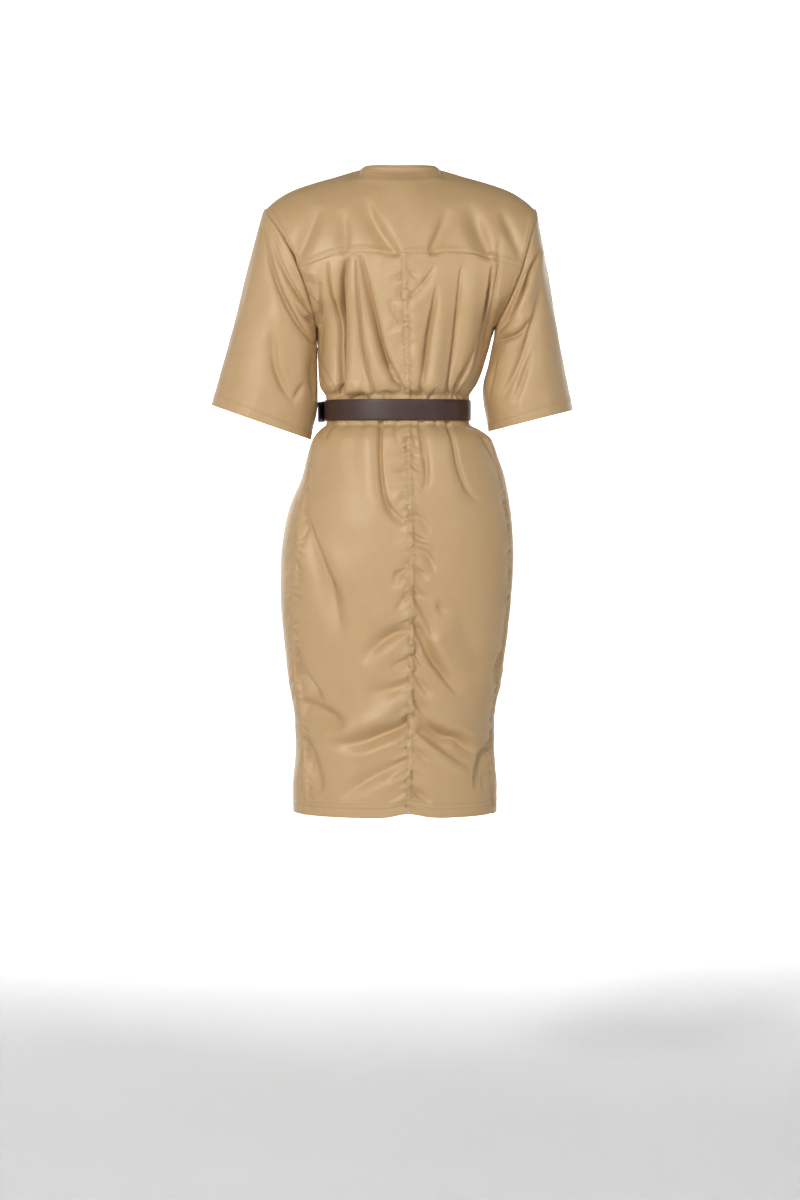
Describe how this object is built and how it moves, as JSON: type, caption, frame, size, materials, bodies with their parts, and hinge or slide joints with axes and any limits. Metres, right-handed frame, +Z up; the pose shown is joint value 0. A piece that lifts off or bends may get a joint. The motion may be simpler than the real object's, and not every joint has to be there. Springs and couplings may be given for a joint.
{
  "type": "shirt dress",
  "caption": "Belted khaki cotton shirt dress with elbow-length sleeves, yoke, collarless neckband and knee-length skirt, in its hollow worn form",
  "frame": {"origin": "the middle of the neck at the height of the shoulder seams, where the wearer's shoulders carry the dress", "axes": "+X is the wearer's left, -Y is the front, +Y is the back, which the picture shows, and +Z is up"},
  "size_m": [0.5716, 0.2454, 1.0287],
  "materials": {
    "cloth": "matt cotton twill, khaki, double topstitched in its own colour",
    "leather": "dark brown smooth leather with a soft shine and fine grain",
    "horn": "brown horn-like polished plastic",
    "brass": "satin pale brass"
  },
  "bodies": {
    "root": {"back_yoke": "cloth", "back_panel_left": "cloth", "back_panel_right": "cloth", "front_panel_left": "cloth", "front_panel_right": "cloth", "sleeve_left": "cloth", "sleeve_right": "cloth", "neckband": "cloth", "front_placket": "cloth", "button_1": "horn", "button_2": "horn", "button_3": "horn", "button_4": "horn", "button_5": "horn", "button_6": "horn", "button_7": "horn", "button_8": "horn", "button_9": "horn", "button_10": "horn", "belt_strap": "leather", "belt_keeper": "leather", "buckle_frame": "brass", "buckle_prong": "brass"}
  },
  "joints": []
}
